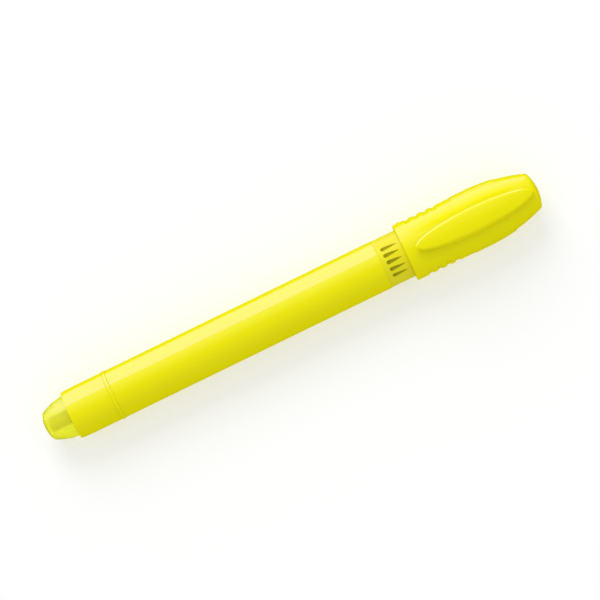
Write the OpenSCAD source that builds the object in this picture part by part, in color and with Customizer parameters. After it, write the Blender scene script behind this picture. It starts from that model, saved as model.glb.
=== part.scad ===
// Twist-up gel highlighter with a pull-off cap, in millimetres.
// Every sub-part is drawn along its own Z axis, with Z = 0 at the tip of the
// twist knob, and in_place() then lays the pen on its side: knob at -X, cap at
// +X, pocket clip on top, underside of the cap on Z = 0.

/* [Barrel] */
// Outer radius of the barrel and of the tail sleeve behind it
barrel_radius = 6.35; // [6.3:0.05:6.4]
// Length of the barrel tube
barrel_length = 73.2; // [72:0.2:76]
// Length of the tail sleeve that the knob turns in
tail_length = 11.15; // [11:0.05:11.6]
// Width of the raised trim ring between the tail sleeve and the barrel
trim_width = 1; // [0.8:0.1:1.2]
// Height of the trim ring above the barrel
trim_rise = 0.16; // [0.1:0.02:0.2]

/* [Collar] */
// Radius of the slotted collar in front of the barrel
collar_radius = 6.24; // [6.2:0.01:6.26]
// Length of collar that shows with the cap on
collar_length = 6.5; // [6.2:0.1:7]
// Teardrop recesses in each of the two groups
recess_count = 5; // [3:1:6]
// Angle between neighbouring recesses, in degrees
recess_pitch = 17; // [15:1:20]
// Radius of the round end of a recess
recess_radius = 0.53; // [0.4:0.01:0.6]

/* [Twist knob] */
// Length of the clear knob that stands out of the tail sleeve
knob_length = 7.05; // [7:0.05:7.2]
// Radius of the knob's skirt inside the tail sleeve
knob_radius = 5.42; // [5.4:0.01:5.44]

/* [Screw and carriage] */
// Travel of the gel stick for one turn of the knob
screw_lead = 5.5; // [5.5:0.1:5.7]
// Turns of the knob from fully in to fully out
knob_turns = 3; // [2:0.5:3]
// Radius of the screw between its threads
screw_core = 1.75; // [1.7:0.05:1.8]
// Radius over the screw's thread
screw_radius = 2.5; // [2.4:0.05:2.5]
// Radius of the gel stick
gel_radius = 3.5; // [3.4:0.05:3.5]

/* [Cap] */
// Length of the cap
cap_length = 36.5; // [36.5:0.1:37]
// Outer radius of the cap
cap_radius = 7.5; // [7.45:0.05:7.6]
// Depth of the anti-roll flat along the underside of the cap
flat_depth = 0.6; // [0.4:0.05:0.7]
// Grip grooves on each side of the cap
groove_count = 4; // [2:1:4]
// Distance from one grip groove to the next
groove_pitch = 2.41; // [2.3:0.01:2.45]
// Height of the two side pads above the cap
pad_rise = 0.2; // [0.1:0.05:0.25]

/* [Clip] */
// Length of the pocket clip
clip_length = 32.4; // [32:0.1:32.6]
// Width of the pocket clip at its middle
clip_width = 6.3; // [6:0.1:6.6]
// Thickness of the pocket clip
clip_thickness = 1.2; // [1.1:0.05:1.3]

/* [Hidden] */
$fn = 96;

yellow = [0.92, 0.90, 0.10];
clear_yellow = [0.93, 0.92, 0.35, 0.6];
white = [0.93, 0.93, 0.90];
grey = [0.45, 0.46, 0.47];
black = [0.10, 0.10, 0.11];
gel_yellow = [0.95, 0.98, 0.20];
steel = [0.75, 0.76, 0.78];

overcut = 1;

// Stations along the pen
trim_start = knob_length + tail_length;
barrel_start = trim_start + trim_width;
barrel_end = barrel_start + barrel_length;
cap_start = barrel_end + collar_length;
cap_end = cap_start + cap_length;
pen_middle = cap_end / 2;
axis_height = cap_radius - flat_depth;

// Barrel, tail sleeve and collar
barrel_bore = barrel_radius - 1;
spigot_length = 5;
tail_bore = knob_radius + 0.08;
tail_mouth_drop = 0.18;
tail_mouth_length = 3.95;
web_start = knob_length + 4.95;
web_end = web_start + 2;
tail_end = trim_start + spigot_length;
tail_inner = 4.7;
collar_spigot = 6;
collar_bore = 4.9;
seat_radius = 6.1;
seat_start = cap_start + 0.3;
seat_end = cap_start + 6.3;
bead_radius = 0.35;
bead_station = cap_start + 3.1;
recess_start = barrel_end + 1.2;
recess_length = 3.95;
recess_tilt = -3;

// Nozzle
nozzle_start = cap_start - 2.9;
nozzle_end = cap_start + 10.6;
nozzle_bore = 3.65;
nozzle_radius = 4.5;
nozzle_edge = 0.4;
seal_station = cap_start + 8.5;
seal_thickness = 0.4;
seal_centre = 4.45;
seal_groove_half = 0.45;

// Knob and its coupling
skirt_end = web_start - 0.9;
washer_start = web_start - 0.8;
washer_outer = 5.4;
coupling_flange = 4.3;
flange_start = skirt_end - 1.7;
stem_radius = 1.25;
stem_start = 2;
journal_radius = 2.7;
journal_clearance = 0.08;
journal_end = web_end + 1.8;
ring_groove_radius = 2.3;
ring_start = web_end + 0.1;
ring_width = 0.8;
ring_outer = 3.7;
ring_gap = 2;
drag_station = knob_length + 1.95;
drag_thickness = 0.31;
drag_groove_half = 0.35;
knob_end_radius = 8;
knob_end_edge = 3.3;
knob_side_radius = 15.5;
knob_side_start = 1.05;
knob_side_crown = knob_length + 1.25;

// Lead screw, carrier and gel stick
travel = screw_lead * knob_turns;
socket_start = skirt_end + 0.5;
core_start = journal_end + 1.2;
nut_start = tail_end + 1.4;
nut_length = 9;
nut_end = nut_start + nut_length;
nut_radius = 4.6;
nut_socket = 2;
nut_bore = screw_radius + 0.18;
thread_start = core_start + 2.5;
thread_end = nut_end + travel + 1.9;
screw_end = thread_end + 2;
thread_step = 15;
ridge_root = 2.9;
ridge_tip = 2.3;
follower_root = 2.8;
follower_tip = 2.3;
follower_reach = screw_core + 0.2;
follower_arc = 135;
follower_station = nut_start + (nut_length - nut_socket) / 2;
key_width = 1.4;
key_radius = 5.2;
key_slot = key_width + 0.2;
guide_bore = nut_radius + 0.15;
guide_end = nut_end + travel + 1.9;
slot_end = nut_end + travel + 0.6;
holder_radius = 3.4;
holder_bore = screw_radius + 0.25;
gel_tip = nozzle_end - 0.7;
gel_start = gel_tip - 48.8;
cup_radius = 4.3;
cup_floor = 2;
cup_depth = 10;
gel_taper = 1.8;
gel_nose = 2.5;
gel_nose_edge = 0.35;

// Cap
cap_bore = collar_radius + 0.08;
cap_lip = 0.3;
cap_taper_start = cap_start + 20.1;
cap_taper_radius = 43;
cap_taper_end = cap_end - 1.4;
cap_corner_radius = 0.85;
cap_corner_centre = [cap_radius - 3.55, cap_end - 1.65];
cap_dome_radius = 11;
cap_dome_edge = 22;
liner_bore = 4.9;
liner_front_bore = 4.2;
liner_wall = 0.6;
liner_start = cap_start + 6.9;
liner_step = liner_start + 5.2;
liner_inner_end = nozzle_end + 17.1;
liner_end = liner_inner_end + 0.8;
liner_flange_start = liner_start + 2.2;
liner_flange_width = 1.2;
cavity_taper_end = liner_end - 0.9;
cavity_end = liner_end;
hollow_radius = 3;
hollow_end = cap_end - 2.2;
groove_start = cap_start + 3.1;
groove_width = 1.4;
groove_depth = 0.28;
groove_arc = 62;
pad_start = cap_start + 15.7;
pad_end = cap_start + 27.5;
pad_arc = 52;
pad_edge = 0.25;
pip_radius = 0.4;
pip_station = cap_start + 1.6;
pip_reach = cap_radius + pad_rise - pip_radius;

// Clip
clip_middle = cap_start + 18.75;
clip_half = clip_length / 2;
clip_bevel = 0.55;
clip_bevel_rise = 0.45;
clip_top = cap_radius + 2.25;
clip_flat_end = cap_start + 13.1;
clip_sweep_radius = 74.4;
clip_edge_angle = 86;
clip_step = 4;
rib_station = cap_start + 5.5;
rib_half = 1.6;
rib_rise = 0.85;
pivot_station = cap_start + 31.8;
pivot_height = 5.6;
pivot_radius = 1.1;
pivot_clearance = 0.1;
pivot_width = 3;
root_width = 1.6;
pocket_side = 0.15;
pocket_half = 1.4;
pocket_top = 3.4;

// ---- Shared shapes ----

module in_place() {
    translate([-pen_middle, 0, axis_height])
        rotate([90, 0, 90])
            children();
}

module rod(radius, from, to) {
    translate([0, 0, from])
        cylinder(r = radius, h = to - from);
}

module tube(outer, inner, from, to) {
    difference() {
        rod(outer, from, to);
        rod(inner, from - overcut, to + overcut);
    }
}

module torus(centre, thickness, station) {
    rotate_extrude()
        translate([centre, station])
            circle(r = thickness, $fn = 32);
}

// Arc of a circle as [radius, station] points, from one angle to another.
function arc(centre, radius, from, to, steps) = [
    for (i = [0 : steps])
        centre + radius * [cos(from + (to - from) * i / steps), sin(from + (to - from) * i / steps)]
];

// Left-hand helical ridge: four points a ring, swept from one angle to another.
module helical_ridge(inner, outer, inner_width, outer_width, from, to, station) {
    rings = ceil((to - from) / thread_step);
    points = [
        for (i = [0 : rings])
            let (
                angle = from + (to - from) * i / rings,
                level = station - screw_lead * angle / 360
            )
            for (corner = [
                [inner, -inner_width / 2], [outer, -outer_width / 2],
                [outer, outer_width / 2], [inner, inner_width / 2]
            ])
                [corner[0] * cos(angle), corner[0] * sin(angle), level + corner[1]]
    ];
    last = 4 * rings;
    faces = concat(
        [[3, 2, 1, 0], [last, last + 1, last + 2, last + 3]],
        [
            for (i = [0 : rings - 1])
                for (side = [0 : 3])
                    let (
                        a = 4 * i + side,
                        b = 4 * i + (side + 1) % 4
                    )
                    each [[a, b, a + 4], [b, b + 4, a + 4]]
        ]
    );
    polyhedron(points = points, faces = faces);
}

// ---- Barrel ----

module barrel_tube() {
    color(yellow)
        in_place()
            tube(barrel_radius, barrel_bore, barrel_start, barrel_end);
}

// The sleeve swells from its mouth to the barrel's radius along a shallow arc.
module tail_sleeve() {
    mouth_radius = barrel_radius - tail_mouth_drop;
    swell_radius = (tail_mouth_length * tail_mouth_length) / (2 * tail_mouth_drop);
    swell_end = knob_length + tail_mouth_length;
    swell = [
        for (i = [0 : 6])
            let (back = tail_mouth_length * (1 - i / 6))
            [barrel_radius - back * back / (2 * swell_radius), swell_end - back]
    ];
    color(yellow)
        in_place()
            difference() {
                rotate_extrude()
                    polygon(concat(
                        [[0, knob_length], [mouth_radius - 0.2, knob_length]],
                        [[mouth_radius, knob_length + 0.25]],
                        [for (i = [1 : 6]) swell[i]],
                        [
                            [barrel_radius, trim_start], [barrel_bore, trim_start],
                            [barrel_bore, tail_end], [0, tail_end]
                        ]
                    ));
                rod(tail_bore, knob_length - overcut, web_start);
                rod(journal_radius + journal_clearance, web_start - overcut, web_end + overcut);
                rod(tail_inner, web_end, tail_end + overcut);
            }
}

module trim_ring() {
    edge = 0.15;
    outer = barrel_radius + trim_rise;
    color(yellow)
        in_place()
            rotate_extrude()
                polygon([
                    [barrel_bore, trim_start], [outer - edge, trim_start], [outer, trim_start + edge],
                    [outer, barrel_start - edge], [outer - edge, barrel_start], [barrel_bore, barrel_start]
                ]);
}

// The guide keeps the carrier nut from turning: its keys run in the two slots.
module guide_sleeve() {
    color(white)
        in_place()
            difference() {
                tube(barrel_bore, guide_bore, tail_end, guide_end);
                translate([-barrel_radius, -key_slot / 2, tail_end - overcut])
                    cube([2 * barrel_radius, key_slot, slot_end - tail_end + overcut]);
            }
}

module thrust_washer() {
    color(steel)
        in_place()
            tube(washer_outer, journal_radius + 0.15, washer_start, web_start);
}

// ---- Collar and nozzle ----

// A recess is half of a ball that runs out to a point towards the cap.
module teardrop_recess() {
    translate([0, collar_radius, recess_start + recess_radius])
        rotate_extrude($fn = 24)
            polygon(concat(
                [[0, -recess_radius]],
                arc([0, 0], recess_radius, -72, 0, 4),
                [[0, recess_length]]
            ));
}

module recess_group() {
    for (i = [0 : recess_count - 1])
        rotate([0, 0, recess_tilt + (i - (recess_count - 1) / 2) * recess_pitch])
            teardrop_recess();
}

module collar() {
    color(yellow)
        in_place()
            difference() {
                union() {
                    rod(barrel_bore, barrel_end - collar_spigot, barrel_end + overcut);
                    rod(collar_radius, barrel_end, seat_start);
                    rod(seat_radius, seat_start - overcut, seat_end);
                    torus(seat_radius - 0.2, bead_radius, bead_station);
                }
                rod(collar_bore, barrel_end - collar_spigot - overcut, seat_end + overcut);
                recess_group();
                rotate([0, 0, 180])
                    recess_group();
            }
}

module nozzle() {
    groove_bottom = seal_centre - seal_thickness;
    color(yellow)
        in_place()
            rotate_extrude()
                polygon([
                    [nozzle_bore, nozzle_start], [collar_bore, nozzle_start], [collar_bore, seat_end],
                    [nozzle_radius, seat_end], [nozzle_radius, seal_station - seal_groove_half],
                    [groove_bottom, seal_station - seal_groove_half],
                    [groove_bottom, seal_station + seal_groove_half],
                    [nozzle_radius, seal_station + seal_groove_half],
                    [nozzle_radius, nozzle_end - nozzle_edge], [nozzle_radius - nozzle_edge, nozzle_end],
                    [nozzle_bore, nozzle_end]
                ]);
}

module nozzle_seal() {
    color(black)
        in_place()
            torus(seal_centre, seal_thickness, seal_station);
}

// ---- Knob ----

function knob_side(station) =
    knob_radius - sqrt(pow(knob_side_radius, 2) - pow(knob_side_crown - knob_length, 2))
    + sqrt(pow(knob_side_radius, 2) - pow(knob_side_crown - station, 2));

// Solid clear plastic round the coupling's stem: a shallow dome, a narrow corner
// and a long flare down to the sleeve's mouth.
module twist_knob() {
    dome = arc([0, knob_end_radius], knob_end_radius, -90, -90 + asin(knob_end_edge / knob_end_radius), 6);
    flare = [
        for (i = [0 : 8])
            let (station = knob_side_start + (knob_length - knob_side_start) * i / 8)
            [knob_side(station), station]
    ];
    color(clear_yellow)
        in_place()
            difference() {
                rotate_extrude()
                    polygon(concat(dome, flare, [[knob_radius, skirt_end], [0, skirt_end]]));
                rod(stem_radius, stem_start, flange_start + overcut);
                rod(coupling_flange, flange_start, skirt_end + overcut);
                tube(
                    knob_radius + overcut, tail_bore - 0.02 - 2 * drag_thickness,
                    drag_station - drag_groove_half, drag_station + drag_groove_half
                );
            }
}

// Coupling between knob and screw: a stem in the knob, a journal in the web.
module knob_coupling() {
    color(yellow)
        in_place()
            difference() {
                union() {
                    rod(stem_radius, stem_start, flange_start + overcut);
                    rod(coupling_flange, flange_start, skirt_end);
                    rod(journal_radius, skirt_end - overcut, journal_end);
                }
                tube(journal_radius + overcut, ring_groove_radius, ring_start, ring_start + ring_width);
                rod(stem_radius, socket_start, journal_end + overcut);
            }
}

module snap_ring() {
    color(steel)
        in_place()
            difference() {
                tube(ring_outer, ring_groove_radius, ring_start, ring_start + ring_width);
                translate([0, -ring_gap / 2, ring_start - overcut])
                    cube([ring_outer + overcut, ring_gap, ring_width + 2 * overcut]);
            }
}

module drag_ring() {
    color(black)
        in_place()
            torus(tail_bore - 0.02 - drag_thickness, drag_thickness, drag_station);
}

module lead_screw() {
    tip_edge = 0.5;
    ridge_from = -360 * (thread_end - follower_station - screw_lead / 2) / screw_lead;
    ridge_to = 360 * (follower_station + screw_lead / 2 - thread_start) / screw_lead;
    color(white)
        in_place() {
            rod(stem_radius, socket_start, core_start);
            rod(screw_core, core_start, screw_end - tip_edge);
            translate([0, 0, screw_end - tip_edge])
                cylinder(r1 = screw_core, r2 = screw_core - tip_edge, h = tip_edge);
            helical_ridge(
                screw_core - 0.2, screw_radius, ridge_root, ridge_tip,
                ridge_from, ridge_to, follower_station + screw_lead / 2
            );
        }
}

// ---- Carriage ----

module carrier_nut() {
    color(grey)
        in_place() {
            difference() {
                union() {
                    rod(nut_radius, nut_start, nut_end);
                    translate([-key_radius, -key_width / 2, nut_start])
                        cube([2 * key_radius, key_width, nut_length]);
                }
                rod(nut_bore, nut_start - overcut, nut_end);
                rod(holder_radius, nut_end - nut_socket, nut_end + overcut);
            }
            helical_ridge(
                follower_reach, nut_bore + 0.4, follower_tip, follower_root,
                -follower_arc, follower_arc, follower_station
            );
        }
}

module gel_holder() {
    cup_start = gel_start - cup_floor;
    color(white)
        in_place() {
            tube(holder_radius, holder_bore, nut_end - nut_socket, cup_start);
            rod(cup_radius, cup_start, gel_start);
            tube(cup_radius, gel_radius, gel_start, gel_start + cup_depth);
        }
}

module gel_stick() {
    color(gel_yellow)
        in_place()
            rotate_extrude()
                polygon([
                    [0, gel_start], [gel_radius, gel_start], [gel_radius, gel_tip - gel_taper],
                    [gel_nose, gel_tip - gel_nose_edge], [gel_nose - gel_nose_edge, gel_tip], [0, gel_tip]
                ]);
}

// ---- Cap ----

// Radius of the cap's outside at a station: straight, then a long arc inwards.
function cap_side(station) =
    station < cap_taper_start ? cap_radius
    : cap_radius - cap_taper_radius + sqrt(pow(cap_taper_radius, 2) - pow(station - cap_taper_start, 2));

module cap_solid() {
    lip = arc([cap_radius - cap_lip, cap_start + cap_lip], cap_lip, -90, 0, 4);
    taper = [
        for (i = [0 : 12])
            let (station = cap_taper_start + (cap_taper_end - cap_taper_start) * i / 12)
            [cap_side(station), station]
    ];
    corner = arc(cap_corner_centre, cap_corner_radius, 24, 68, 4);
    dome = arc([0, cap_end - cap_dome_radius], cap_dome_radius, 90 - cap_dome_edge + 2, 90, 6);
    rotate_extrude()
        polygon(concat([[0, cap_start]], lip, taper, corner, dome));
}

// Raised pad on one side of the cap, following the taper of its outside.
module side_pad() {
    outline = [
        for (i = [0 : 6])
            let (station = pad_start + pad_edge + (pad_end - pad_start - 2 * pad_edge) * i / 6)
            [cap_side(station) + pad_rise, station]
    ];
    rotate([0, 0, -pad_arc / 2])
        rotate_extrude(angle = pad_arc)
            polygon(concat(
                [[cap_side(pad_end) - 1.1, pad_start], [cap_side(pad_start), pad_start]],
                outline,
                [[cap_side(pad_end), pad_end], [cap_side(pad_end) - 1.1, pad_end]]
            ));
}

module grip_grooves() {
    for (i = [0 : groove_count - 1])
        rotate([0, 0, -groove_arc / 2])
            rotate_extrude(angle = groove_arc)
                translate([cap_radius - groove_depth, groove_start + i * groove_pitch])
                    square([overcut, groove_width]);
}

module clip_pocket() {
    width = pivot_width + 2 * pocket_side;
    translate([-width / 2, pivot_height, pivot_station - pocket_half])
        cube([width, pocket_top, 2 * pocket_half]);
    translate([-width / 2, pivot_height, pivot_station])
        rotate([0, 90, 0])
            cylinder(r = pivot_radius + pivot_clearance, h = width);
}

module cap_shell() {
    color(yellow)
        in_place()
            difference() {
                union() {
                    cap_solid();
                    side_pad();
                    rotate([0, 0, 180])
                        side_pad();
                    translate([pip_reach, 0, pip_station])
                        sphere(r = pip_radius, $fn = 32);
                }
                rotate_extrude()
                    polygon([
                        [0, cap_start - overcut], [cap_bore, cap_start - overcut],
                        [cap_bore, cap_taper_start], [liner_front_bore + liner_wall, cavity_taper_end],
                        [liner_front_bore + liner_wall, cavity_end], [hollow_radius, cavity_end],
                        [hollow_radius, hollow_end], [0, hollow_end]
                    ]);
                grip_grooves();
                rotate([0, 0, 180])
                    grip_grooves();
                clip_pocket();
                translate([-cap_radius, -axis_height - cap_radius, cap_start - overcut])
                    cube([2 * cap_radius, cap_radius, cap_length + 2 * overcut]);
            }
}

// Inner cup that closes over the nozzle and keeps the gel from drying out.
module cap_liner() {
    rear_outer = liner_bore + liner_wall;
    front_outer = liner_front_bore + liner_wall;
    color(white)
        in_place()
            rotate_extrude()
                polygon([
                    [liner_bore, liner_start], [rear_outer, liner_start],
                    [rear_outer, liner_flange_start], [cap_bore, liner_flange_start],
                    [cap_bore, liner_flange_start + liner_flange_width],
                    [rear_outer, liner_flange_start + liner_flange_width],
                    [rear_outer, liner_step], [front_outer, liner_step + liner_wall],
                    [front_outer, liner_end], [0, liner_end], [0, liner_inner_end],
                    [liner_front_bore, liner_inner_end], [liner_front_bore, liner_step],
                    [liner_bore, liner_step - liner_wall]
                ]);
}

// ---- Clip ----

// Height of the clip's top face above the pen's axis at a station.
function clip_face(station) =
    station < clip_flat_end ? clip_top
    : clip_top - pow(station - clip_flat_end, 2) / (2 * clip_sweep_radius);

// Depth of the cross rib under the free end, which rests on the pocket's cloth.
function clip_rib(station) =
    abs(station - rib_station) < rib_half
    ? rib_rise * pow(cos(90 * (station - rib_station) / rib_half), 2)
    : 0;

// The top face is crowned across its width, about the pen's axis.
function clip_crown(across) = clip_top - sqrt(pow(clip_top, 2) - pow(across, 2));

// Points for each station: underside, edge, bevel and the crowned top between
// them, right to left.
function clip_ring(angle) =
    let (
        edge_x = clip_width / 2 * cos(angle),
        edge_z = clip_middle + clip_half * sin(angle),
        face_x = (clip_width / 2 - clip_bevel) * cos(angle),
        face_z = clip_middle + (clip_half - clip_bevel) * sin(angle),
        under = clip_face(edge_z) - clip_thickness - clip_rib(edge_z),
        edge = clip_face(edge_z) - clip_crown(face_x) - clip_bevel_rise,
        crown = [
            for (share = [1, 0.5, 0, -0.5, -1])
                [share * face_x, clip_face(face_z) - clip_crown(share * face_x), face_z]
        ]
    )
    concat(
        [[edge_x, under, edge_z], [edge_x, edge, edge_z]],
        crown,
        [[-edge_x, edge, edge_z], [-edge_x, under, edge_z]]
    );

module clip_blade() {
    angles = [for (a = [-clip_edge_angle : clip_step : clip_edge_angle]) a];
    rings = len(angles) - 1;
    sides = len(clip_ring(0));
    points = [for (a = angles) each clip_ring(a)];
    faces = concat(
        [[for (side = [0 : sides - 1]) side]],
        [[for (side = [sides - 1 : -1 : 0]) sides * rings + side]],
        [
            for (i = [0 : rings - 1])
                for (side = [0 : sides - 1])
                    let (
                        a = sides * i + side,
                        b = sides * i + (side + 1) % sides
                    )
                    each [[a, a + sides, b], [b, a + sides, b + sides]]
        ]
    );
    polyhedron(points = points, faces = faces);
}

module pocket_clip() {
    root_top = clip_face(pivot_station) - clip_thickness / 2;
    color(yellow)
        in_place() {
            clip_blade();
            translate([-pivot_width / 2, pivot_height, pivot_station])
                rotate([0, 90, 0])
                    cylinder(r = pivot_radius, h = pivot_width);
            translate([-pivot_width / 2, pivot_height, pivot_station - root_width / 2])
                cube([pivot_width, root_top - pivot_height, root_width]);
        }
}

barrel_tube();
tail_sleeve();
trim_ring();
guide_sleeve();
thrust_washer();
collar();
nozzle();
nozzle_seal();
twist_knob();
knob_coupling();
snap_ring();
drag_ring();
lead_screw();
carrier_nut();
gel_holder();
gel_stick();
cap_shell();
cap_liner();
pocket_clip();
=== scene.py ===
"""Looks of a twist-up gel highlighter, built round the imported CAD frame.

Every piece is placed by the frame: stations run along X, and the pen's axis is
the centre line of the barrel. Angles round the pen start at the clip side, +Z,
and grow towards +Y. Lengths are metres, written as millimetres times MM.
"""
import math

import bpy
import mathutils
import numpy as np
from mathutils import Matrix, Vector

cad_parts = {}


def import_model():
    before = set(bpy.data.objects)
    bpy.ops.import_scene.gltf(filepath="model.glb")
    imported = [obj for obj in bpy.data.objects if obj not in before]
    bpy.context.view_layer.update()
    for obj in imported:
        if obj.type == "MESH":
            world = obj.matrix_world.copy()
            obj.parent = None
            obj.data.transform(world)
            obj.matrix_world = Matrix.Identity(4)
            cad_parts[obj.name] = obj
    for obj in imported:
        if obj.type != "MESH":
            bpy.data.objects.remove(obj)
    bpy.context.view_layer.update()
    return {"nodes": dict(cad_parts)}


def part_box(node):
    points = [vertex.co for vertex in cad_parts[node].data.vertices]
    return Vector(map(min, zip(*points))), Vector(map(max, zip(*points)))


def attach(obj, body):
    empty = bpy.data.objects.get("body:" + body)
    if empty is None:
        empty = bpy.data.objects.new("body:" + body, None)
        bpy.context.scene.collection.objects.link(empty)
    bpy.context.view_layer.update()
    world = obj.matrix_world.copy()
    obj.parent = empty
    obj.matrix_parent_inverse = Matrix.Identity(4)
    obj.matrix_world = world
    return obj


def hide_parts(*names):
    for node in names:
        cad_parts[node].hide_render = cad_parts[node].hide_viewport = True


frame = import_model()

MM = 0.001
TAU = 2 * math.pi

# ---- Places read from the frame ----


def span(node):
    """First and last station of a node along the pen."""
    low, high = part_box(node)
    return low.x, high.x


def top_radius(node):
    """Radius of a node on the clip side, where nothing stands proud."""
    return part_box(node)[1].z - AXIS_Z


BARREL_LOW, BARREL_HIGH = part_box("barrel_tube")
AXIS_Z = (BARREL_LOW.z + BARREL_HIGH.z) / 2
KNOB_START, KNOB_END = span("twist_knob")
SLEEVE_START, SLEEVE_END = span("tail_sleeve")
TRIM_START, TRIM_END = span("trim_ring")
BARREL_START, BARREL_END = span("barrel_tube")
COLLAR_START, COLLAR_END = span("collar")
NOZZLE_START, NOZZLE_END = span("nozzle")
CAP_START, CAP_END = span("cap_shell")
LINER_START, LINER_END = span("cap_liner")
BARREL_RADIUS = top_radius("barrel_tube")
TRIM_RADIUS = top_radius("trim_ring")
COLLAR_RADIUS = top_radius("collar")
KNOB_RADIUS = top_radius("twist_knob")
CAP_RADIUS = top_radius("cap_shell")
FLAT_HEIGHT = AXIS_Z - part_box("cap_shell")[0].z

# ---- Sizes shared with the CAD ----

SPIGOT_RADIUS = BARREL_RADIUS - 1 * MM
SEAT_RADIUS = 6.1 * MM
SEAT_START = CAP_START + 0.3 * MM
SEAT_BEAD = CAP_START + 3.1 * MM
COLLAR_BORE = 4.9 * MM
CAP_BORE = COLLAR_RADIUS + 0.08 * MM
RECESS_START = BARREL_END + 1.2 * MM
RECESS_RADIUS = 0.53 * MM
RECESS_LENGTH = 3.95 * MM
RECESS_DEPTH = 1.0 * MM
RECESS_PITCH = math.radians(17)
RECESS_TILT = math.radians(-3)
RECESSES = 5
NOZZLE_RADIUS = 4.5 * MM
NOZZLE_BORE = 3.65 * MM
SEAL_STATION = CAP_START + 8.5 * MM
SEAL_CENTRE = 4.45 * MM
SEAL_THICKNESS = 0.4 * MM
CAP_TAPER_START = CAP_START + 20.1 * MM
CAP_TAPER_RADIUS = 43 * MM
CAP_TAPER_END = CAP_END - 1.4 * MM
CAP_DOME_RADIUS = 11 * MM
LINER_FRONT_BORE = 4.2 * MM
LINER_WALL = 0.6 * MM
GROOVE_START = CAP_START + 3.1 * MM
GROOVE_WIDTH = 1.4 * MM
GROOVE_PITCH = 2.41 * MM
GROOVE_DEPTH = 0.28 * MM
GROOVES = 4
GROOVE_ARC = math.radians(62)
PAD_START = CAP_START + 15.7 * MM
PAD_END = CAP_START + 27.5 * MM
PAD_RISE = 0.2 * MM
PAD_ARC = math.radians(52)
PAD_RIB_PITCH = 0.5 * MM
PAD_RIB_DEPTH = 0.09 * MM
PIP_STATION = CAP_START + 1.6 * MM
PIP_RADIUS = 0.4 * MM
CLIP_MIDDLE = CAP_START + 18.75 * MM
CLIP_HALF_LENGTH = 16.2 * MM
CLIP_HALF_WIDTH = 3.15 * MM
CLIP_THICKNESS = 1.2 * MM
CLIP_TOP = CAP_RADIUS + 2.25 * MM
CLIP_FLAT_END = CAP_START + 13.1 * MM
CLIP_SWEEP_RADIUS = 74.4 * MM
CLIP_BEVEL = 0.55 * MM
CLIP_BEVEL_RISE = 0.45 * MM
RIB_STATION = CAP_START + 5.5 * MM
RIB_HALF = 1.6 * MM
RIB_RISE = 0.85 * MM
PIVOT_STATION = CAP_START + 31.8 * MM
PIVOT_HEIGHT = 5.6 * MM
PIVOT_RADIUS = 1.1 * MM
PIVOT_HALF_WIDTH = 1.5 * MM
ROOT_HALF = 0.8 * MM
SHARP_ANGLE = math.radians(35)


# ---- Mesh helpers ----


def finish_with(piece, material):
    """Gives the piece its material, and leaves any second one on its cut faces, such as the painted
    shade in the collar's recesses.
    """
    slots = piece.data.materials
    if len(slots):
        slots[0] = MATERIALS[material]
    else:
        slots.append(MATERIALS[material])


def as_object(name, vertices, faces):
    """A new smooth-shaded mesh object, with its hard corners kept sharp."""
    mesh = bpy.data.meshes.new(name)
    mesh.from_pydata([tuple(v) for v in vertices], [], faces)
    mesh.validate()
    mesh.shade_smooth()
    mesh.set_sharp_from_angle(angle=SHARP_ANGLE)
    piece = bpy.data.objects.new(name, mesh)
    bpy.context.scene.collection.objects.link(piece)
    return piece


def arc(centre, radius, start, end, steps):
    """Section points on an arc, with angles in degrees from +X towards +radius."""
    angles = np.radians(np.linspace(start, end, steps + 1))
    return [(centre[0] + radius * math.cos(a), centre[1] + radius * math.sin(a)) for a in angles]


def rounded(corners, closed=True, steps=4):
    """Section points from (station, radius) or (station, radius, fillet) corners.

    A filleted corner becomes an arc with one more point just past each end, so
    that smooth shading doesn't run on into the straight faces.
    """
    points = []
    for i, corner in enumerate(corners):
        here = np.array(corner[:2])
        fillet = corner[2] if len(corner) > 2 else 0
        if not fillet or (not closed and i in (0, len(corners) - 1)):
            points.append(tuple(here))
            continue
        back = np.array(corners[i - 1][:2]) - here
        ahead = np.array(corners[(i + 1) % len(corners)][:2]) - here
        back, ahead = back / np.linalg.norm(back), ahead / np.linalg.norm(ahead)
        half = math.acos(max(-1, min(1, back @ ahead))) / 2
        reach = fillet / math.tan(half)
        bisector = (back + ahead) / np.linalg.norm(back + ahead)
        centre = here + bisector * fillet / math.sin(half)
        first, last = here + back * reach - centre, here + ahead * reach - centre
        start = math.atan2(first[1], first[0])
        sweep = (math.atan2(last[1], last[0]) - start + math.pi) % TAU - math.pi
        points.append(tuple(here + back * (reach + fillet / 2)))
        for step in range(steps + 1):
            angle = start + sweep * step / steps
            points.append(tuple(centre + fillet * np.array([math.cos(angle), math.sin(angle)])))
        points.append(tuple(here + ahead * (reach + fillet / 2)))
    return points


def softened(points):
    """The same open outline with its corners cut twice over."""
    for _ in range(2):
        cut = [points[0]]
        for a, b in zip(points, points[1:]):
            a, b = np.array(a), np.array(b)
            cut += [tuple(a + (b - a) / 4), tuple(b - (b - a) / 4)]
        points = cut + [points[-1]]
    return points


def stations(start, end, spacing):
    """Evenly spaced stations from start to end, both included."""
    return list(np.linspace(start, end, max(2, round((end - start) / spacing) + 1)))


def strip_faces(rows, segments, closed):
    """Four-sided faces between each row of a round grid and the next one."""
    faces = []
    for i in range(rows if closed else rows - 1):
        a, b = i * segments, (i + 1) % rows * segments
        for j in range(segments):
            k = (j + 1) % segments
            faces.append((a + j, b + j, b + k, a + k))
    return faces


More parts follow.
